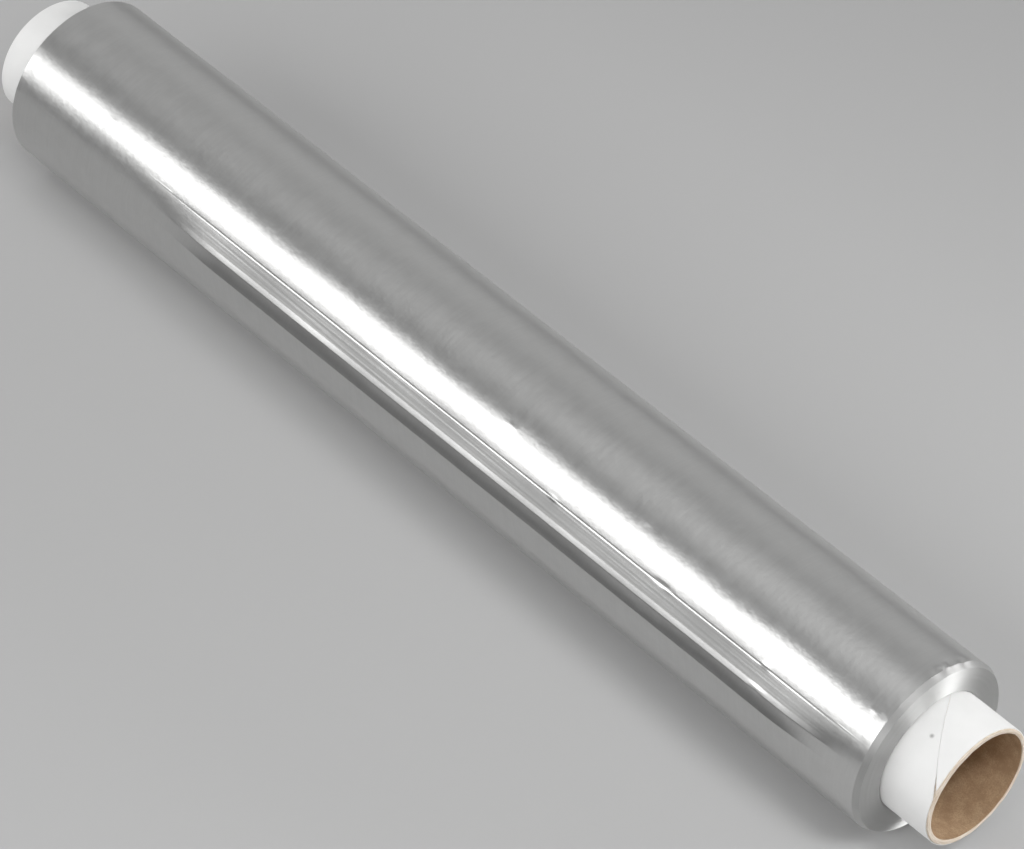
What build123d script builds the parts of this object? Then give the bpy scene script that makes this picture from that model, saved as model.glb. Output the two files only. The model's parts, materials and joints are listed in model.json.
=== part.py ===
from build123d import *
from math import radians, sin, sqrt
import os

# Driving dimensions, in millimetres and degrees.
# The roll lies on a table along X. Angles run round X, from +Y over the top.

# Foil
web_width = 300.0  # foil from edge to edge
roll_diameter = 46.0  # over the outermost turn
flat_spot = 8.0  # width of the flat where the roll has settled on the table

# Ends of the wound foil: every turn is as wide as the web, so what one end shows proud the other shows sunk
telescope = 2.0  # how far the last turns have slipped back along the core
slipped_build = 0.8  # thickness of the turns that slipped
turn_bands = 8  # bands of turns that show as rings on the end faces
band_wander = 0.16  # how far a band stands in or out of the end face
band_phase = 137.5  # turn of phase from one band to the next, so that the rings look uneven

# Slack of the outermost turn along the front of the roll: a flat strip below the foil's free edge, a fold,
# and a low pocket that is tucked back against the turns under it
slack_root_angle = 144.5  # free edge of the foil
slack_fold_angle = 156.4  # fold between the strip and the pocket
slack_crest_angle = 167.5  # where the pocket stands off furthest
slack_tuck_angle = 187.0  # where the foil lies on the turns again
slack_fold_lift = 0.45  # height of the fold over the turns
slack_crest_lift = 1.7  # height of the pocket's crest over the turns, before it is rounded
slack_crest_radius = 2.6  # rounding of the crest
slack_seat = 0.1  # depth at which the slack is one with the turns at its root and tuck
slack_depth = 0.9  # depth to which it is one with the turns between them
slack_near_gap = 3.0  # from the near edge of the foil to where the slack has settled into the roll
slack_far_gap = 58.0  # the same from the far edge
slack_fade = 36.0  # length over which each end of the slack settles
slack_sink = 0.4  # how far the fold and the crest have sunk where it has settled

# Core
core_bore = 29.0  # inside diameter of the kraft tube
kraft_wall = 1.05  # wall of the kraft tube
cover_ply = 0.25  # thickness of the white cover
near_stub = 16.3  # core beyond the outermost turn at the +X end
far_stub = 13.7  # core beyond the outermost turn at the -X end
mouth_edge = 0.2  # broken edges at the mouths of the kraft tube

# Helical butt seam of the cover
cover_setback = 0.35  # the cover ends short of the kraft tube's cut ends
seam_gap = 0.35  # between the two edges of the cover strip
seam_lead = 67.8  # advance of the seam in one turn, right-handed about +X
seam_mouth_angle = 147.6  # where the seam meets the near mouth
seam_overrun = 1.0  # the gap is cut past the cover's ends and faces

# Clearances
glue_line = 0.02  # kraft tube to cover
first_turn_clearance = 0.02  # cover to the first turn of foil

# Radii and places that follow
bore_radius = core_bore / 2
kraft_radius = bore_radius + kraft_wall
cover_inner_radius = kraft_radius + glue_line
cover_radius = cover_inner_radius + cover_ply
foil_inner_radius = cover_radius + first_turn_clearance
roll_radius = roll_diameter / 2
axis_height = sqrt(roll_radius**2 - (flat_spot / 2) ** 2)

core_length = web_width + near_stub + far_stub
core_near_x = core_length / 2
foil_near_x = core_near_x - near_stub
foil_far_x = foil_near_x - web_width


def tube(inner_radius, outer_radius, length):
    ring = Plane.YZ * (Circle(outer_radius) - Circle(inner_radius))
    return extrude(ring, amount=length / 2, both=True)


def turn_edge():
    # One edge of the wound foil from the core outwards, as (slip along the axis, radius)
    band_outer_radius = roll_radius - slipped_build
    band_height = (band_outer_radius - foil_inner_radius) / turn_bands
    points = []
    for band in range(turn_bands):
        slip = band_wander * sin(radians(band_phase * band))
        foot = foil_inner_radius + band * band_height
        points.append((slip, foot))
        points.append((slip, foot + band_height))
    points.append((-telescope, roll_radius))
    return points


def wound_turns():
    near_edge = [(foil_near_x + telescope + slip, radius) for slip, radius in turn_edge()]
    far_edge = [(x - web_width, radius) for x, radius in reversed(near_edge)]
    section = Plane.XZ * make_face(Polyline(*near_edge, *far_edge, close=True))
    return revolve(section, Axis.X)


def on_roll(angle, lift):
    return Vector(roll_radius + lift, 0).rotate(Axis.Z, angle)


def slack_section(x, fold_lift, crest_lift):
    # The slack across the roll, as a face that reaches down into the turns
    root = on_roll(slack_root_angle, -slack_seat)
    fold = on_roll(slack_fold_angle, fold_lift)
    crest = on_roll(slack_crest_angle, crest_lift)
    tuck = on_roll(slack_tuck_angle, -slack_seat)
    under_tuck = on_roll(slack_tuck_angle, -slack_depth)
    under_crest = on_roll(slack_crest_angle, -slack_depth)
    under_root = on_roll(slack_root_angle, -slack_depth)
    section = make_face(Polyline(root, fold, crest, tuck, under_tuck, under_crest, under_root, close=True))
    rounded = fillet(section.vertices().sort_by_distance(crest)[0], slack_crest_radius)
    return Plane.YZ.offset(x) * rounded


def slack_turn():
    near_end = foil_near_x - slack_near_gap
    far_end = foil_far_x + slack_far_gap
    settled = (-slack_sink, -slack_sink)
    lifted = (slack_fold_lift, slack_crest_lift)
    stations = [
        (far_end, settled),
        (far_end + slack_fade, lifted),
        (near_end - slack_fade, lifted),
        (near_end, settled),
    ]
    return loft([slack_section(x, *lifts) for x, lifts in stations], ruled=True)


def wound_foil():
    table = Pos(0, 0, -axis_height) * Box(
        core_length, roll_diameter, roll_diameter, align=(Align.CENTER, Align.CENTER, Align.MAX)
    )
    return wound_turns() + slack_turn() - table


def core_tube():
    body = tube(bore_radius, kraft_radius, core_length)
    mouths = body.edges().filter_by(GeomType.CIRCLE)
    return chamfer(mouths, mouth_edge)


def seam_cut():
    # A narrow band wound through the cover, from past its near end to past its far end
    start_x = core_near_x + seam_overrun
    start_angle = seam_mouth_angle + 360 * seam_overrun / seam_lead
    mid_radius = (cover_inner_radius + cover_radius) / 2
    path = Helix(seam_lead, core_length + 2 * seam_overrun, mid_radius)
    across = Plane(path @ 0, x_dir=(1, 0, 0), z_dir=path % 0)
    band = sweep(across * Rectangle(cover_ply + 2 * seam_overrun, seam_gap), path=path, is_frenet=True)
    return Pos(start_x, 0, 0) * Rotation(0, -90, 0) * Rotation(0, 0, 90 - start_angle) * band


def core_cover():
    return tube(cover_inner_radius, cover_radius, core_length - 2 * cover_setback) - seam_cut()


nodes = {
    "wound_foil": wound_foil(),
    "core_tube": core_tube(),
    "core_cover": core_cover(),
}

os.makedirs("parts", exist_ok=True)
for name, shape in nodes.items():
    export_step(Pos(0, 0, axis_height) * shape, f"parts/{name}.step")
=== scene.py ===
import json
import math

import bmesh
import bpy
import numpy as np
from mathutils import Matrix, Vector


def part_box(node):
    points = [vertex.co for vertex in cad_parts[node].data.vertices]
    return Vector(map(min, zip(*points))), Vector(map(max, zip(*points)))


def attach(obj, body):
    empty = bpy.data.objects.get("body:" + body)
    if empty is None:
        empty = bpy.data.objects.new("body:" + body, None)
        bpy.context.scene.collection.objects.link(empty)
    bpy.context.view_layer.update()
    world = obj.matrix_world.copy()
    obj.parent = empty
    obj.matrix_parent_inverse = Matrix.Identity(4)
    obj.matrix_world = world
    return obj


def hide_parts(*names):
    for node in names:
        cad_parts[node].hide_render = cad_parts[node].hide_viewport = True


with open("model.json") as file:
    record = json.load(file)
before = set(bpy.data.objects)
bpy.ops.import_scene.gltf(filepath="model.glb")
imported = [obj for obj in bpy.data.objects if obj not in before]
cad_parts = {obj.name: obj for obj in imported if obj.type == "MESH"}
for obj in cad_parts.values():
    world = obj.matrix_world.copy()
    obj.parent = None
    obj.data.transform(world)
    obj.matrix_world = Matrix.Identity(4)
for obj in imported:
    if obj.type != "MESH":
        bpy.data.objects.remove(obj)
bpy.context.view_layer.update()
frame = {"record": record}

# Sizes are in mm and degrees, and those of the stage in metres.
# Angles run round the roll from +Y over the top, so the side towards the camera is at 90 to 210.
mm = 0.001
weldGap = 0.0005  # points of two grids closer than this are one
boreMount = next(m for m in frame["record"]["mounts"] if m["name"] == "core_bore")
axisHeight = boreMount["pos_m"][2] / mm
boreRadius = boreMount["dims"]["r_mm"]
foilLow, foilHigh = (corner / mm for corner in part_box("wound_foil"))
coverLow, coverHigh = (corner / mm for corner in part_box("core_cover"))
tubeLow, tubeHigh = (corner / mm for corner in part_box("core_tube"))
rollRadius = foilHigh.z - axisHeight
coverRadius = coverHigh.z - axisHeight
print("frame loaded, axis", round(axisHeight, 3), "mm over the table")


def onRoll(x, radius, angle):
    # points in metres, from a place along the roll, a radius and an angle
    turn = np.radians(angle)
    parts = [x + 0 * turn, radius * np.cos(turn), axisHeight + radius * np.sin(turn)]
    return np.stack(np.broadcast_arrays(*parts), axis=-1) * mm


def smooth(start, full, value):
    t = np.clip((value - start) / (full - start), 0, 1)
    return t * t * (3 - 2 * t)


def bump(value, middle, width):
    return np.exp(-(((value - middle) / width) ** 2))


def spread(stretches):
    # points along a line, from (end of stretch, spacing) pairs
    points = [stretches[0][0]]
    for end, spacing in stretches[1:]:
        steps = max(1, round((end - points[-1]) / spacing))
        points += list(np.linspace(points[-1], end, steps + 1)[1:])
    return np.array(points)


waveRange = (0.6, 1.9)  # shortest and longest wave of a ripple, as shares of its mean length


def ripple(x, across, waves):
    # a seeded sum of waves, about 1 high, for the uneven lie of thin sheet
    # waves holds the mean length along x and across, the number of waves and the seed
    lengthX, lengthAcross, count, seed = waves
    rng = np.random.default_rng(seed)
    total = 0
    for _ in range(count):
        stepX = 2 * math.pi / (lengthX * rng.uniform(*waveRange)) * rng.choice((-1, 1))
        stepAcross = 2 * math.pi / (lengthAcross * rng.uniform(*waveRange))
        total = total + np.sin(stepX * x + stepAcross * across + rng.uniform(0, 2 * math.pi))
    return total / math.sqrt(count)


def makePiece(name, grids, materials, node, sharpAngle):
    # each grid is (points, uv, material index); grids meet at equal points, which are then joined
    points, faces, uvs, indices = [], [], [], []
    start = 0
    for grid, uv, index in grids:
        rows, columns = grid.shape[:2]
        corner = start + np.arange(rows * columns).reshape(rows, columns)
        corners = [corner[:-1, :-1], corner[1:, :-1], corner[1:, 1:], corner[:-1, 1:]]
        quads = np.stack(corners, axis=-1).reshape(-1, 4)
        points.append(grid.reshape(-1, 3))
        faces.append(quads)
        uvs.append(uv.reshape(-1, 2)[quads.ravel() - start])
        indices += [index] * len(quads)
        start += rows * columns
    mesh = bpy.data.meshes.new(name)
    mesh.from_pydata(np.concatenate(points).tolist(), [], np.concatenate(faces).tolist())
    layer = mesh.uv_layers.new(name="unrolled")
    layer.data.foreach_set("uv", np.concatenate(uvs).astype(np.float32).ravel())
    for material in materials:
        mesh.materials.append(material)
    mesh.polygons.foreach_set("material_index", indices)
    joined = bmesh.new()
    joined.from_mesh(mesh)
    bmesh.ops.remove_doubles(joined, verts=joined.verts, dist=weldGap * mm)
    bmesh.ops.recalc_face_normals(joined, faces=joined.faces)
    joined.to_mesh(mesh)
    joined.free()
    mesh.polygons.foreach_set("use_smooth", [True] * len(mesh.polygons))
    mesh.set_sharp_from_angle(angle=math.radians(sharpAngle))
    piece = bpy.data.objects.new(name, mesh)
    bpy.context.scene.collection.objects.link(piece)
    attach(piece, "root")
    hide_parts(node)
    print(name, "made,", len(mesh.polygons), "faces")


# Materials

acrossTangent = 0.25  # of a turn: the gloss is drawn out across the tangent that runs round the roll
numberA, numberB, numberMix = 2, 3, 0  # the Mix node's sockets share their names, so they go by place
colourA, colourB, colourMix = 6, 7, 2


def linear(hexText):
    # sRGB hex to the linear colour that shaders take
    parts = [int(hexText[i:i + 2], 16) / 255 for i in (1, 3, 5)]
    return tuple(c / 12.92 if c <= 0.04045 else ((c + 0.055) / 1.055) ** 2.4 for c in parts) + (1.0,)


def addNode(tree, kind, sockets=None, **settings):
    made = tree.nodes.new(kind)
    for name, value in settings.items():
        setattr(made, name, value)
    for name, value in (sockets or {}).items():
        if isinstance(value, bpy.types.NodeSocket):
            tree.links.new(value, made.inputs[name])
        else:
            made.inputs[name].default_value = value
    return made


def newMaterial(name):
    material = bpy.data.materials.new(name)
    material.use_nodes = True
    tree = material.node_tree
    tree.nodes.clear()
    shader = addNode(tree, "ShaderNodeBsdfPrincipled")
    addNode(tree, "ShaderNodeOutputMaterial", {"Surface": shader.outputs["BSDF"]})
    return material, tree, shader


foilLook = {
    "colour": "#D0D0CF",
    "streak": "#CCCCCB",
    "rough": (0.31, 0.35),
    "anisotropy": 0.5,
    "rollLines": 0.6,  # mm between the lines that the mill rolls leave; real ones are too fine to show
    "rollLineLength": 16.0,  # mm along the web before a line fades
    "mottle": 4.0,  # mm across the cloudy patches of a loosely wound turn
    "grain": 1.6,  # mm across the fine unevenness that the turns below press into it
    # strength of each relief and its depth in mm
    "lineBump": (0.017, 0.1),
    "mottleBump": (0.021, 0.3),
    "grainBump": (0.29, 0.1),
    # sums of the two noises over which the colour and the roughness change
    "streakSpan": (0.75, 1.25),
    "roughSpan": (0.7, 1.3),
    # no turns press through the slack, so it mirrors more sharply across the roll
    "slackRough": 0.28,
    "slackAnisotropy": 0.97,
    "slackGrain": 0.05,  # strength of the grain there
    "slackTop": (144.2, 145.2),  # angles where the sharper part starts and is full
    "slackBottom": (182.0, 172.0),
}


def foilMaterial():
    # Bright side of cold-rolled aluminium foil: mirror-like, with fine lines round the roll that draw
    # its reflections out along it, and a slight grain at the borders of the bright bands
    material, tree, shader = newMaterial("aluminium_foil_bright_rolled")
    uv = addNode(tree, "ShaderNodeUVMap", uv_map="unrolled").outputs["UV"]
    lines = addNode(tree, "ShaderNodeMapping", {
        "Vector": uv, "Scale": (1 / foilLook["rollLines"], 1 / foilLook["rollLineLength"], 1)})
    lineNoise = addNode(tree, "ShaderNodeTexNoise", {
        "Vector": lines.outputs["Vector"], "Scale": 1.0, "Detail": 3.0, "Roughness": 0.6},
        noise_dimensions="2D")
    cloud = addNode(tree, "ShaderNodeTexNoise", {
        "Vector": uv, "Scale": 1 / foilLook["mottle"], "Detail": 4.0, "Roughness": 0.6},
        noise_dimensions="2D")
    grain = addNode(tree, "ShaderNodeTexNoise", {
        "Vector": uv, "Scale": 1 / foilLook["grain"], "Detail": 2.0, "Roughness": 0.5},
        noise_dimensions="2D")
    mixed = addNode(tree, "ShaderNodeMath", {
        0: lineNoise.outputs["Fac"], 1: cloud.outputs["Fac"]}, operation="ADD").outputs["Value"]
    share = addNode(tree, "ShaderNodeMapRange", {
        "Value": mixed, "From Min": foilLook["streakSpan"][0], "From Max": foilLook["streakSpan"][1]})
    tone = addNode(tree, "ShaderNodeMix", {
        "Factor": share.outputs["Result"],
        colourA: linear(foilLook["streak"]), colourB: linear(foilLook["colour"])}, data_type="RGBA")
    wound = addNode(tree, "ShaderNodeMapRange", {
        "Value": mixed, "From Min": foilLook["roughSpan"][0], "From Max": foilLook["roughSpan"][1],
        "To Min": foilLook["rough"][0], "To Max": foilLook["rough"][1]})
    place = addNode(tree, "ShaderNodeSeparateXYZ", {"Vector": uv}).outputs
    degree = math.radians(1) * rollRadius  # mm round the roll
    fades = (("X", 1, foil["slackFar"]), ("X", 1, foil["slackNear"]),
             ("Y", degree, foilLook["slackTop"]), ("Y", degree, foilLook["slackBottom"]))
    onSlack = None
    for axis, unit, (start, full) in fades:
        fade = addNode(tree, "ShaderNodeMapRange", {
            "Value": place[axis], "From Min": start * unit, "From Max": full * unit}).outputs["Result"]
        both = {0: fade, 1: onSlack or fade}  # the far end's fade counts twice, so it comes in slowly
        onSlack = addNode(tree, "ShaderNodeMath", both, operation="MULTIPLY").outputs["Value"]
    rough = addNode(tree, "ShaderNodeMix", {
        "Factor": onSlack, numberA: wound.outputs["Result"], numberB: foilLook["slackRough"]},
        data_type="FLOAT")
    stretch = addNode(tree, "ShaderNodeMix", {
        "Factor": onSlack, numberA: foilLook["anisotropy"], numberB: foilLook["slackAnisotropy"]},
        data_type="FLOAT")
    pressed = addNode(tree, "ShaderNodeMix", {
        "Factor": onSlack, numberA: foilLook["grainBump"][0], numberB: foilLook["slackGrain"]},
        data_type="FLOAT")
    lineBump = addNode(tree, "ShaderNodeBump", {
        "Height": lineNoise.outputs["Fac"],
        "Strength": foilLook["lineBump"][0], "Distance": foilLook["lineBump"][1] * mm})
    mottleBump = addNode(tree, "ShaderNodeBump", {
        "Height": cloud.outputs["Fac"], "Normal": lineBump.outputs["Normal"],
        "Strength": foilLook["mottleBump"][0], "Distance": foilLook["mottleBump"][1] * mm})
    grainBump = addNode(tree, "ShaderNodeBump", {
        "Height": grain.outputs["Fac"], "Normal": mottleBump.outputs["Normal"],
        "Strength": pressed.outputs[numberMix], "Distance": foilLook["grainBump"][1] * mm})
    tangent = addNode(tree, "ShaderNodeTangent", direction_type="RADIAL", axis="X")
    shader.inputs["Metallic"].default_value = 1.0
    shader.inputs["Anisotropic Rotation"].default_value = acrossTangent
    tree.links.new(tone.outputs[colourMix], shader.inputs["Base Color"])
    tree.links.new(rough.outputs[numberMix], shader.inputs["Roughness"])
    tree.links.new(stretch.outputs[numberMix], shader.inputs["Anisotropic"])
    tree.links.new(grainBump.outputs["Normal"], shader.inputs["Normal"])
    tree.links.new(tangent.outputs["Tangent"], shader.inputs["Tangent"])
    return material


edgeLook = {
    "colour": "#DADAD9",
    "rough": (0.64, 0.84),
    "anisotropy": 0.93,
    "turnLines": 0.18,  # mm between lines on the end face; real turns are 0.011 mm apart
    "turnLineLength": 50.0,  # mm round the roll before a line fades
    "turnBump": (0.1, 0.05),  # strength, and depth in mm
}


def foilEdgeMaterial():
    # Slit edges of the wound foil: circles too fine to see, which draw light out into a satin fan
    material, tree, shader = newMaterial("aluminium_foil_slit_edges")
    uv = addNode(tree, "ShaderNodeUVMap", uv_map="unrolled").outputs["UV"]
    lines = addNode(tree, "ShaderNodeMapping", {
        "Vector": uv, "Scale": (1 / edgeLook["turnLines"], 1 / edgeLook["turnLineLength"], 1)})
    turns = addNode(tree, "ShaderNodeTexNoise", {
        "Vector": lines.outputs["Vector"], "Scale": 1.0, "Detail": 2.0}, noise_dimensions="2D")
    turnBump = addNode(tree, "ShaderNodeBump", {
        "Height": turns.outputs["Fac"],
        "Strength": edgeLook["turnBump"][0], "Distance": edgeLook["turnBump"][1] * mm})
    rough = addNode(tree, "ShaderNodeMapRange", {
        "Value": turns.outputs["Fac"], "To Min": edgeLook["rough"][0], "To Max": edgeLook["rough"][1]})
    tangent = addNode(tree, "ShaderNodeTangent", direction_type="RADIAL", axis="X")
    shader.inputs["Base Color"].default_value = linear(edgeLook["colour"])
    shader.inputs["Metallic"].default_value = 1.0
    shader.inputs["Anisotropic"].default_value = edgeLook["anisotropy"]
    shader.inputs["Anisotropic Rotation"].default_value = acrossTangent
    tree.links.new(rough.outputs["Result"], shader.inputs["Roughness"])
    tree.links.new(turnBump.outputs["Normal"], shader.inputs["Normal"])
    tree.links.new(tangent.outputs["Tangent"], shader.inputs["Tangent"])
    return material


paperLook = {
    "colour": "#F3F3F2",
    "shade": "#EAEAE9",
    "rough": 0.85,
    "specular": 0.3,
    "fibre": 0.5,  # mm across the grain; real fibres are too fine to show
    "cloud": 6.0,  # mm across the cloudy patches
    "fibreBump": (0.15, 0.05),  # strength, and depth in mm
    "fleck": "#ABABA9",  # one grey fleck in the paper, on the near stub
    "fleckPlace": (155.9, 113.1),  # x and angle
    "fleckSize": (0.15, 0.7),  # radius of its middle and of its faded rim
}


def paperMaterial():
    # Machine-finished white paper: matt, faintly cloudy, with a fine fibre grain
    material, tree, shader = newMaterial("white_paper_machine_finished")
    place = addNode(tree, "ShaderNodeTexCoord").outputs["Object"]
    fibre = addNode(tree, "ShaderNodeTexNoise", {
        "Vector": place, "Scale": 1 / (paperLook["fibre"] * mm), "Detail": 4.0})
    cloud = addNode(tree, "ShaderNodeTexNoise", {
        "Vector": place, "Scale": 1 / (paperLook["cloud"] * mm), "Detail": 3.0})
    colour = addNode(tree, "ShaderNodeMix", {
        "Factor": cloud.outputs["Fac"],
        colourA: linear(paperLook["colour"]), colourB: linear(paperLook["shade"])}, data_type="RGBA")
    fleckX, fleckAngle = paperLook["fleckPlace"]
    away = addNode(tree, "ShaderNodeVectorMath", {
        0: place, 1: onRoll(fleckX, coverRadius, fleckAngle)}, operation="DISTANCE")
    fleckMiddle, fleckRim = paperLook["fleckSize"]
    fleck = addNode(tree, "ShaderNodeMapRange", {
        "Value": away.outputs["Value"], "From Min": fleckMiddle * mm, "From Max": fleckRim * mm})
    marked = addNode(tree, "ShaderNodeMix", {
        "Factor": fleck.outputs["Result"],
        colourA: linear(paperLook["fleck"]), colourB: colour.outputs[colourMix]}, data_type="RGBA")
    fibreBump = addNode(tree, "ShaderNodeBump", {
        "Height": fibre.outputs["Fac"],
        "Strength": paperLook["fibreBump"][0], "Distance": paperLook["fibreBump"][1] * mm})
    shader.inputs["Roughness"].default_value = paperLook["rough"]
    shader.inputs["Specular IOR Level"].default_value = paperLook["specular"]
    tree.links.new(marked.outputs[colourMix], shader.inputs["Base Color"])
    tree.links.new(fibreBump.outputs["Normal"], shader.inputs["Normal"])
    return material


kraftLook = {
    "colour": "#C6AA8A",
    "dark": "#AB8E70",
    "rough": 0.9,
    "specular": 0.25,
    "fibre": 0.35,  # mm across the grain; real fibres are too fine to show
    "cloud": 3.0,  # mm across the darker flecks
    "fleckSpan": (0.15, 0.4),  # products of the two noises over which the colour changes
    "fibreBump": (0.3, 0.1),  # strength, and depth in mm
}


def kraftMaterial():
    # Unbleached spiral-wound kraft board: brown, matt and fibrous, with darker flecks
    material, tree, shader = newMaterial("kraft_board_spiral_wound")
    place = addNode(tree, "ShaderNodeTexCoord").outputs["Object"]
    fibre = addNode(tree, "ShaderNodeTexNoise", {
        "Vector": place, "Scale": 1 / (kraftLook["fibre"] * mm), "Detail": 5.0})
    cloud = addNode(tree, "ShaderNodeTexNoise", {
        "Vector": place, "Scale": 1 / (kraftLook["cloud"] * mm), "Detail": 4.0})
    both = addNode(tree, "ShaderNodeMath", {
        0: fibre.outputs["Fac"], 1: cloud.outputs["Fac"]}, operation="MULTIPLY").outputs["Value"]
    share = addNode(tree, "ShaderNodeMapRange", {
        "Value": both, "From Min": kraftLook["fleckSpan"][0], "From Max": kraftLook["fleckSpan"][1]})
    colour = addNode(tree, "ShaderNodeMix", {
        "Factor": share.outputs["Result"],
        colourA: linear(kraftLook["dark"]), colourB: linear(kraftLook["colour"])}, data_type="RGBA")
    fibreBump = addNode(tree, "ShaderNodeBump", {
        "Height": both,
        "Strength": kraftLook["fibreBump"][0], "Distance": kraftLook["fibreBump"][1] * mm})
    shader.inputs["Roughness"].default_value = kraftLook["rough"]
    shader.inputs["Specular IOR Level"].default_value = kraftLook["specular"]
    tree.links.new(colour.outputs[colourMix], shader.inputs["Base Color"])
    tree.links.new(fibreBump.outputs["Normal"], shader.inputs["Normal"])
    return material


cutLook = {
    "colour": "#EBE0D3",
    "ply": "#D6C5B0",
    "rough": 0.95,
    "specular": 0.2,
    "plyStep": 0.35,  # mm from ply to ply
    "plyLength": 4.0,  # mm round the mouth before a ring fades
    "plySpan": (0.35, 0.65),  # noise over which the colour changes
    "fuzzBump": (0.4, 0.1),  # strength, and depth in mm
}


def kraftCutMaterial():
    # Knife-cut end of the kraft board: paler than its faces, with the plies as faint rings
    material, tree, shader = newMaterial("kraft_board_knife_cut")
    uv = addNode(tree, "ShaderNodeUVMap", uv_map="unrolled").outputs["UV"]
    rings = addNode(tree, "ShaderNodeMapping", {
        "Vector": uv, "Scale": (1 / cutLook["plyStep"], 1 / cutLook["plyLength"], 1)})
    ply = addNode(tree, "ShaderNodeTexNoise", {
        "Vector": rings.outputs["Vector"], "Scale": 1.0, "Detail": 4.0}, noise_dimensions="2D")
    share = addNode(tree, "ShaderNodeMapRange", {
        "Value": ply.outputs["Fac"],
        "From Min": cutLook["plySpan"][0], "From Max": cutLook["plySpan"][1]})
    colour = addNode(tree, "ShaderNodeMix", {
        "Factor": share.outputs["Result"],
        colourA: linear(cutLook["ply"]), colourB: linear(cutLook["colour"])}, data_type="RGBA")
    fuzzBump = addNode(tree, "ShaderNodeBump", {
        "Height": ply.outputs["Fac"],
        "Strength": cutLook["fuzzBump"][0], "Distance": cutLook["fuzzBump"][1] * mm})
    shader.inputs["Roughness"].default_value = cutLook["rough"]
    shader.inputs["Specular IOR Level"].default_value = cutLook["specular"]
    tree.links.new(colour.outputs[colourMix], shader.inputs["Base Color"])
    tree.links.new(fuzzBump.outputs["Normal"], shader.inputs["Normal"])
    return material


# Wound foil

foil = {
    "width": 300.0,
    "innerRadius": 15.84,
    # slack of the outermost turn: (angle, angle that it faces) from its free edge to the tuck
    "slackFacing": (
        (143.5, 143.5), (143.8, 150.0), (144.4, 150.0), (144.6, 138.0), (145.2, 138.0),  # free edge
        (145.5, 142.9), (154.8, 142.9), (155.3, 140.4), (158.0, 141.3),  # strip and fold
        (158.8, 153.5), (162.0, 152.0), (166.5, 149.0),  # top of the pocket, up to its crest
        (166.55, 190.0), (171.0, 187.0), (187.0, 186.5),  # tucked under
    ),
    "slackStep": 0.02,  # degrees from point to point of the slack's section
    "slackFar": (-106.0, -70.0),  # x where the slack starts and is full
    "slackNear": (150.0, 122.0),
    "edgeLip": 0.04,  # the free edge lies this proud, and bends down to the strip
    # each set of waves: mean length along the roll and round it, number of waves, seed
    "stripCrease": 0.003,  # fine creases along the strip below the free edge
    "creaseWaves": (70.0, 1.2, 7, 17),
    "creaseTop": (145.0, 147.0),  # angles where the creases start and are full
    "creaseBottom": (155.0, 153.0),
    "buckle": 0.02,
    "buckleWaves": (38.0, 14.0, 9, 4),
    "buckleSink": 2.4,  # in buckles: all of them lie inside the roll's radius, and
    "buckleLeast": 0.2,  # none comes closer to it than this
    "endCrumple": 0.025,
    "crumpleWaves": (9.0, 6.0, 8, 11),
    "crumpleReach": 3.0,  # mm from the edges
    # end faces
    "telescope": 2.0,  # the last turns have slipped back by this much
    "slippedBuild": 0.8,  # thickness of the turns that slipped
    "slipCurve": 1.1,  # power with which the slip grows outwards
    "slippedRows": 9,  # mesh rows over the slipped turns, and over the others
    "heldRows": 24,
    "bandWander": 0.02,  # how far the turns' edges wander in and out over the end face
    "wanderWaves": (1.0, 1.6, 6, 31),
    "wanderFade": 1.0,  # the wander starts to die out this far below the slipped turns
    "dish": 0.6,  # the end face falls back by this much from the core outwards
    "coreRecess": 0.5,  # and the first turns lie back at the core
    "recessBuild": 0.5,
    "followBuild": 0.5,  # turns this far below the slipped ones still follow the outermost one's form
    # mesh: (angle, spacing up to it), closest at the free edge, the fold and the crest
    "meshAngles": (
        (-90, 0), (30, 4), (110, 2.0), (140, 1.0), (143.4, 0.4), (145.6, 0.1), (154.4, 0.4),
        (159.5, 0.16), (166.2, 0.5), (167.2, 0.1), (190, 1.2), (215, 3), (255, 5), (270, 2),
    ),
    "sharpAngle": 16,
}
# dents and nicks: x, angle, depth (in is negative), length along x, length round the roll
nicks = (
    (46.0, 144.6, 0.09, 1.2, 0.5),
    (82.6, 143.9, -0.12, 2.4, 0.5),
    (84.6, 144.9, 0.08, 1.0, 0.4),
    (116.0, 143.6, 0.12, 1.0, 0.6),
    (116.6, 157.0, 0.07, 1.5, 0.6),
    (26.0, 126.0, 0.13, 0.7, 0.5),
    (70.7, 121.0, 0.07, 0.9, 0.5),
    (144.6, 124.9, 0.07, 0.8, 0.6),
    (-119.1, 131.2, 0.09, 0.9, 0.6),
    (147.9, 77.0, 0.4, 0.8, 0.8),
    (147.6, 71.5, -0.45, 1.0, 0.9),
    (147.9, 83.0, -0.4, 0.9, 1.1),
    (148.1, 62.0, -0.4, 0.9, 1.3),
)
farEdge = foilLow.x
nearEdge = farEdge + foil["width"]


def slackProfile():
    # angles, and the height over the turns there, summed up from the way that each strip faces
    step = foil["slackStep"]
    angle = np.arange(foil["slackFacing"][0][0], foil["slackFacing"][-1][0], step)
    facing = np.interp(angle, *zip(*foil["slackFacing"]))
    growth = np.cumsum(np.tan(np.radians(angle - facing))) * math.radians(step)
    return angle, np.maximum((rollRadius + foil["edgeLip"]) * np.exp(growth) - rollRadius, 0)


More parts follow.
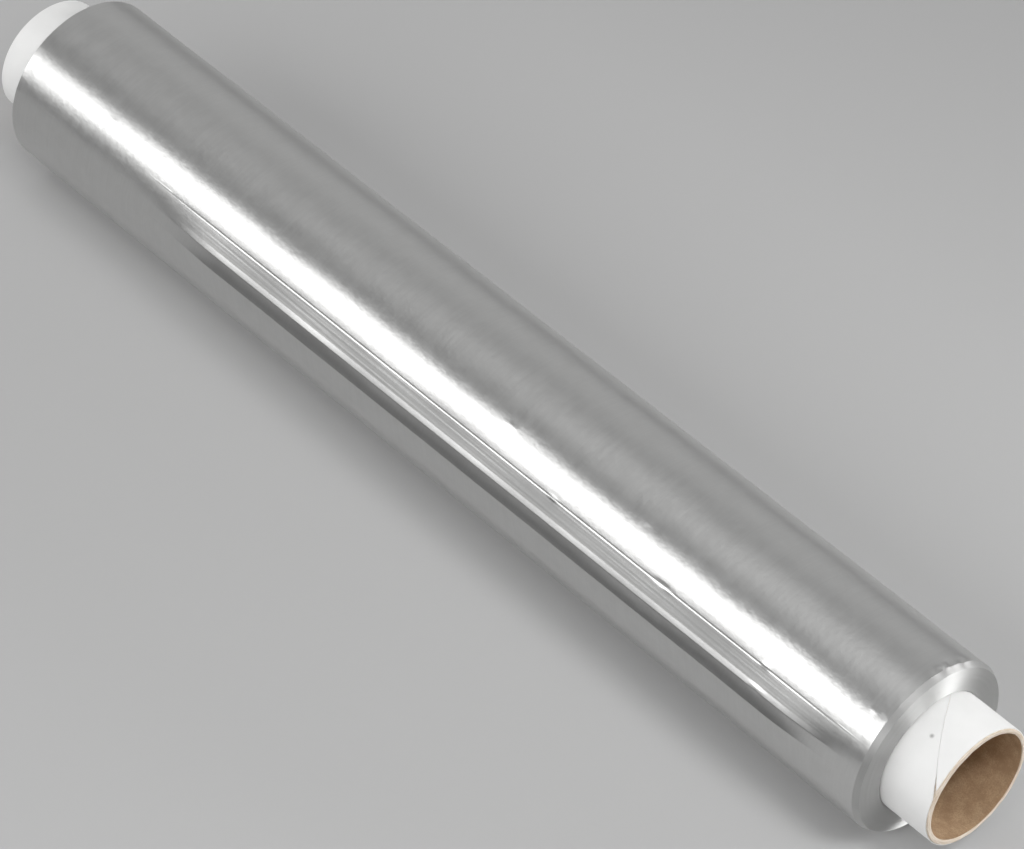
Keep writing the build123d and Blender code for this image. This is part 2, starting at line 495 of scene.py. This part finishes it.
def foilHeight(x, angle):
    # height of the outermost turn over the roll's radius
    around = np.radians(angle) * rollRadius
    creased = smooth(*foil["creaseTop"], angle) * smooth(*foil["creaseBottom"], angle)
    slack = np.interp(angle, *slackProfile(), left=0, right=0)
    slack = slack + foil["stripCrease"] * creased * ripple(x, around, foil["creaseWaves"])
    onSlack = smooth(*foil["slackFar"], x) * smooth(*foil["slackNear"], x)
    buckles = np.minimum(ripple(x, around, foil["buckleWaves"]) - foil["buckleSink"], -foil["buckleLeast"])
    height = onSlack * slack + foil["buckle"] * buckles
    atEnds = np.exp(-np.minimum(x - farEdge, nearEdge - x) / foil["crumpleReach"])
    height = height - foil["endCrumple"] * atEnds * np.abs(ripple(x, around, foil["crumpleWaves"]))
    for nickX, nickAngle, depth, lengthX, lengthRound in nicks:
        nickAround = math.radians(nickAngle) * rollRadius
        height = height + depth * bump(x, nickX, lengthX) * bump(around, nickAround, lengthRound)
    return height


def overTable(points):
    points[..., 2] = np.maximum(points[..., 2], 0)  # the flat spot
    return points


def foilEnd(outerRadius, angle, endX):
    # rows from the outermost turn down to the core: the slipped turns fall back, the others wander a little
    inner = foil["innerRadius"]
    held = rollRadius - foil["slippedBuild"]
    slippedRadii = np.linspace(rollRadius, held, foil["slippedRows"])
    heldRadii = np.linspace(held, inner, foil["heldRows"])[1:]
    radii = np.concatenate([slippedRadii, heldRadii])
    slipped = np.clip((radii - held) / foil["slippedBuild"], 0, 1) ** foil["slipCurve"]
    slip = -(foil["telescope"] - foil["dish"]) * slipped
    steady = smooth(held - foil["wanderFade"], rollRadius, radii)
    wander = foil["bandWander"] * ripple(0, radii, foil["wanderWaves"]) * (1 - steady)
    fallen = foil["dish"] * ((radii - inner) / (rollRadius - inner)) ** 2
    recess = foil["coreRecess"] * (1 - smooth(inner, inner + foil["recessBuild"], radii))
    grid, uv = [], []
    for radius, along in zip(radii, slip + wander - fallen - recess):
        follow = smooth(held - foil["followBuild"], rollRadius, radius)
        ring = radius + follow * (outerRadius - rollRadius)
        grid.append(overTable(onRoll(endX + along, ring, angle)))
        uv.append(np.stack([np.full_like(angle, radius), np.radians(angle) * radius], axis=-1))
    return np.array(grid), np.array(uv)


def makeFoil(skin, edges):
    angle = spread(foil["meshAngles"])
    # mesh rows along the roll: (x, spacing up to it), closest at both ends
    station = spread([(farEdge, 0), (farEdge + 10, 0.5), (40, 1.3), (126, 0.9),
                      (nearEdge - 8, 1.0), (nearEdge, 0.5)])
    x, turn = np.meshgrid(station, angle, indexing="ij")
    radius = rollRadius + foilHeight(x, turn)
    skinUv = np.stack([x, np.radians(turn) * rollRadius], axis=-1)
    grids = [(overTable(onRoll(x, radius, turn)), skinUv, 0)]
    nearFace, endUv = foilEnd(radius[-1], angle, nearEdge + foil["telescope"])
    farFace, _ = foilEnd(radius[0], angle, farEdge + foil["telescope"])
    seat = np.array([nearFace[-1], farFace[-1]])
    grids += [(nearFace, endUv, 1), (farFace[::-1], endUv[::-1], 1), (seat, endUv[-2:], 1)]
    makePiece("foil_turns", grids, (skin, edges), "wound_foil", foil["sharpAngle"])


# Core

plyLead = 67.8  # advance of the plies' seams in one turn


def seamAngle(x, mouthAngle):
    return mouthAngle + 360 * (x - tubeHigh.x) / plyLead


tube = {
    "wall": 1.05,
    "mouthEdge": 0.2,
    "cutWander": 0.06,  # unevenness of the knife cut at the mouths
    "cutWaves": (1.0, 9.0, 7, 21),
    "cutRows": 4,  # mesh rows over the cut
    # the knife has turned the board's edge inwards along two stretches of each mouth: angle, reach and height
    "burrs": ((125.0, 55.0, 0.6), (232.0, 40.0, 0.22)),
    "burrLength": 0.5,
    "seamMouth": 40.0,  # where the inner ply's seam meets the near mouth
    "seamWidth": 0.5,
    "seamDepth": 0.12,
    "sharpAngle": 40,
}


def makeTube(face, cutEnd):
    outer = boreRadius + tube["wall"]
    edge = tube["mouthEdge"]
    # mesh rows along the tube, few where only the deep bore shows them
    station = spread([(tubeLow.x + edge, 0), (-145, 1.5), (140, 6),
                      (tubeHigh.x - 3, 0.9), (tubeHigh.x - edge, 0.25)])
    seamArc = math.degrees(tube["seamWidth"] / boreRadius)
    fromSeam = spread([(0, 0), (seamArc * 2, seamArc / 4), (360 - seamArc * 2, 2.0), (360, seamArc / 4)])
    x, offset = np.meshgrid(station, fromSeam, indexing="ij")
    angle = seamAngle(x, tube["seamMouth"]) + offset
    groove = tube["seamDepth"] * (bump(offset, 0, seamArc / 2) + bump(offset, 360, seamArc / 2))
    fromMouth = np.minimum(x - tubeLow.x, tubeHigh.x - x) - edge
    turned = 0
    for middle, reach, height in tube["burrs"]:
        turned = turned + height * bump((angle - middle + 180) % 360 - 180, 0, reach)
    bore = boreRadius + groove - turned * np.exp(-fromMouth / tube["burrLength"])
    inside = onRoll(x, bore, angle)
    outside = onRoll(x, outer, angle)
    uv = np.stack([x, offset], axis=-1)
    grids = [(inside, uv, 0), (outside, uv, 1)]
    for row, endX, outward in ((0, tubeLow.x, -1), (-1, tubeHigh.x, 1)):
        around = np.radians(angle[row]) * outer
        cut = endX - outward * np.abs(tube["cutWander"] * ripple(0, around, tube["cutWaves"]))
        cutRadii = np.linspace(bore[row] + edge, outer - edge, tube["cutRows"])
        cutRings = [onRoll(cut, radius, angle[row]) for radius in cutRadii]
        rings = np.array([inside[row], *cutRings, outside[row]])
        radii = np.array([bore[row], *cutRadii, outer + 0 * bore[row]])
        grids.append((rings, np.stack([radii, around + 0 * radii], axis=-1), 1))
    makePiece("kraft_tube", grids, (face, cutEnd), "core_tube", tube["sharpAngle"])


cover = {
    "ply": 0.25,
    "seamGap": 0.1,
    "seamMouth": 147.6,  # where the seam meets the near mouth
    "tornCorner": 2.4,  # the corner at the near mouth is torn away over this length
    "tornWidth": 6.0,  # in degrees
    "tornCurve": 1.5,  # power with which the tear widens
    "tornCurl": 0.3,  # lift of the torn corner
    "tornCurlLength": 1.5,
    "curl": 0.06,  # lift of the edges on the stubs
    "curlShare": 0.006,  # share of the strip's width over which the lift dies out
    "curlNear": (4.0, 6.0),  # mm past the foil's edge where the lift starts and is full
    "curlFar": (1.0, 3.0),
    "sharpAngle": 40,
}


def makeCover(material):
    inner = coverRadius - cover["ply"]
    # mesh rows along the cover, few where the foil hides it, and across the strip as shares of its width
    station = spread([(coverLow.x, 0), (-148, 0.8), (146, 8), (coverHigh.x - 3, 0.8), (coverHigh.x, 0.25)])
    across = spread([(0, 0), (0.02, 0.004), (0.98, 0.0055), (1, 0.004)])
    x, share = np.meshgrid(station, across, indexing="ij")
    gap = math.degrees(cover["seamGap"] / coverRadius)
    fromMouth = coverHigh.x - x
    torn = cover["tornWidth"] * np.clip(1 - fromMouth / cover["tornCorner"], 0, 1) ** cover["tornCurve"]
    start = seamAngle(x, cover["seamMouth"]) + gap / 2 + torn
    end = seamAngle(x, cover["seamMouth"]) + 360 - gap / 2
    angle = start + share * (end - start)
    onNearStub = smooth(*(nearEdge + np.array(cover["curlNear"])), x)
    onFarStub = smooth(*(farEdge - np.array(cover["curlFar"])), x)
    edges = np.exp(-share / cover["curlShare"]) + np.exp(-(1 - share) / cover["curlShare"])
    tornLift = cover["tornCurl"] * np.exp(-fromMouth / cover["tornCurlLength"])
    lift = edges * (cover["curl"] * (onNearStub + onFarStub) + tornLift)
    outside, inside = onRoll(x, coverRadius + lift, angle), onRoll(x, inner + lift, angle)
    uv = np.stack([x, angle], axis=-1)
    grids = [(outside, uv, 0), (inside, uv, 0)]
    for row in (0, -1):
        grids.append((np.array([outside[row], inside[row]]), np.array([uv[row], uv[row]]), 0))
        grids.append((np.stack([outside[:, row], inside[:, row]]), np.stack([uv[:, row], uv[:, row]]), 0))
    makePiece("white_cover", grids, (material,), "core_cover", cover["sharpAngle"])


makeFoil(foilMaterial(), foilEdgeMaterial())
makeTube(kraftMaterial(), kraftCutMaterial())
makeCover(paperMaterial())

# Stage: a pale table, a long softbox in front, gridded ones for both ends of the roll, and a soft room

stage = {
    "table": "#BEBEBE",
    "tableRough": 0.8,
    "tableSpecular": 0.2,
    "tableSize": 8.0,
    # faces is the point that a softbox looks at
    # gridAngle is the cone that its grid lets through, 180 for none
    "softboxes": {
        "front_softbox": {
            "place": (-0.25, -0.8, 0.64), "faces": (-0.25, 0, 0.56), "size": (1.8, 0.53),
            "radiance": 2.45, "gridAngle": 180.0,
        },
        "near_end_softbox": {
            "place": (1.147, 1.08, 0.33), "faces": (0.25, 0, 0.03), "size": (0.86, 0.5),
            "radiance": 29.5, "gridAngle": 28.0,
        },
        "near_top_softbox": {
            "place": (0.807, 0, 1.16), "faces": (0.25, 0, 0.03), "size": (0.46, 0.46),
            "radiance": 20.5, "gridAngle": 30.0,
        },
        "far_end_softbox": {
            "place": (0.38, -0.27, 0.7), "faces": (-0.2, 0, 0.03), "size": (0.26, 0.26),
            "radiance": 8.5, "gridAngle": 33.0,
        },
    },
    # room brightness by sine of height over the horizon, in front of the roll and behind it
    "roomFront": (
        (0.0, 0.02), (0.09, 0.03), (0.18, 0.67), (0.4, 0.53), (0.76, 0.12), (0.85, 0.22), (0.95, 0.95),
    ),
    "roomBack": (
        (0.0, 0.36), (0.22, 0.45), (0.44, 0.47), (0.63, 0.43), (0.77, 0.3), (0.85, 0.28), (0.95, 0.95),
    ),
    "roomBlend": 0.3,  # how far either way along Y the front runs into the back
    "roomLevel": (1.12, 0.17),  # strength of the room's light on the far end's side and on the near end's
    "roomLevelSpan": (0.0, 0.6),  # how far along X, towards the near end, the one turns into the other
}


def makeTable():
    # Matt pressed laminate: an even pale grey that takes soft shadows and hardly shines
    half = stage["tableSize"] / 2
    corners = [(-half, -half, 0), (half, -half, 0), (half, half, 0), (-half, half, 0)]
    mesh = bpy.data.meshes.new("table")
    mesh.from_pydata(corners, [], [(0, 1, 2, 3)])
    material, _, shader = newMaterial("pale_laminate_table")
    shader.inputs["Base Color"].default_value = linear(stage["table"])
    shader.inputs["Roughness"].default_value = stage["tableRough"]
    shader.inputs["Specular IOR Level"].default_value = stage["tableSpecular"]
    mesh.materials.append(material)
    table = bpy.data.objects.new("table", mesh)
    bpy.context.scene.collection.objects.link(table)


def makeSoftbox(name, place, faces, size, radiance, gridAngle):
    lamp = bpy.data.lights.new(name, "AREA")
    lamp.shape = "RECTANGLE"
    lamp.size, lamp.size_y = size
    lamp.spread = math.radians(gridAngle)
    power = radiance * math.pi * size[0] * size[1]
    if gridAngle < 180:
        half = lamp.spread / 2
        power *= 1 - half / math.tan(half)  # or the same power in a narrower cone would brighten the face
    lamp.energy = power
    box = bpy.data.objects.new(name, lamp)
    bpy.context.scene.collection.objects.link(box)
    box.location = place
    box.rotation_euler = (Vector(faces) - Vector(place)).to_track_quat("-Z", "Y").to_euler()
    box.visible_camera = False


def roomRamp(tree, height, stops):
    ramp = addNode(tree, "ShaderNodeValToRGB", {"Fac": height})
    elements = ramp.color_ramp.elements
    while len(elements) < len(stops):
        elements.new(0.5)
    for element, (place, level) in zip(elements, stops):
        element.position = place
        element.color = (level, level, level, 1)
    return ramp.outputs["Color"]


def lightStage():
    for name, settings in stage["softboxes"].items():
        makeSoftbox(name, **settings)
    world = bpy.data.worlds.new("studio_room")
    bpy.context.scene.world = world
    world.use_nodes = True
    tree = world.node_tree
    tree.nodes.clear()
    direction = addNode(tree, "ShaderNodeTexCoord").outputs["Generated"]
    parts = addNode(tree, "ShaderNodeSeparateXYZ", {"Vector": direction}).outputs
    behind = addNode(tree, "ShaderNodeMapRange", {
        "Value": parts["Y"], "From Min": -stage["roomBlend"], "From Max": stage["roomBlend"]})
    room = addNode(tree, "ShaderNodeMix", {
        "Factor": behind.outputs["Result"],
        colourA: roomRamp(tree, parts["Z"], stage["roomFront"]),
        colourB: roomRamp(tree, parts["Z"], stage["roomBack"])}, data_type="RGBA")
    level = addNode(tree, "ShaderNodeMapRange", {
        "Value": parts["X"],
        "From Min": stage["roomLevelSpan"][0], "From Max": stage["roomLevelSpan"][1],
        "To Min": stage["roomLevel"][0], "To Max": stage["roomLevel"][1]})
    background = addNode(tree, "ShaderNodeBackground", {
        "Color": room.outputs[colourMix], "Strength": level.outputs["Result"]})
    addNode(tree, "ShaderNodeOutputWorld", {"Surface": background.outputs["Background"]})


# the photograph's view, fitted to the outlines of the roll and its core
photoCamera = {
    "azimuth": 47.876,
    "elevation": 45.760,
    "aim": (8.65, 2.19, 17.63),
    "distance": 1216.0,
    "lens": 178.95,
    "sensor": 36.0,
}


def makeCamera():
    azimuth, elevation = math.radians(photoCamera["azimuth"]), math.radians(photoCamera["elevation"])
    level = math.cos(elevation)
    back = Vector((math.sin(azimuth) * level, -math.cos(azimuth) * level, math.sin(elevation)))
    lens = bpy.data.cameras.new("photo_camera")
    lens.lens = photoCamera["lens"]
    lens.sensor_width = photoCamera["sensor"]
    camera = bpy.data.objects.new("photo_camera", lens)
    bpy.context.scene.collection.objects.link(camera)
    camera.location = (Vector(photoCamera["aim"]) + back * photoCamera["distance"]) * mm
    camera.rotation_euler = (-back).to_track_quat("-Z", "Y").to_euler()
    bpy.context.scene.camera = camera


makeTable()
lightStage()
makeCamera()
bpy.context.scene.view_settings.view_transform = "Standard"
print("stage and camera set")
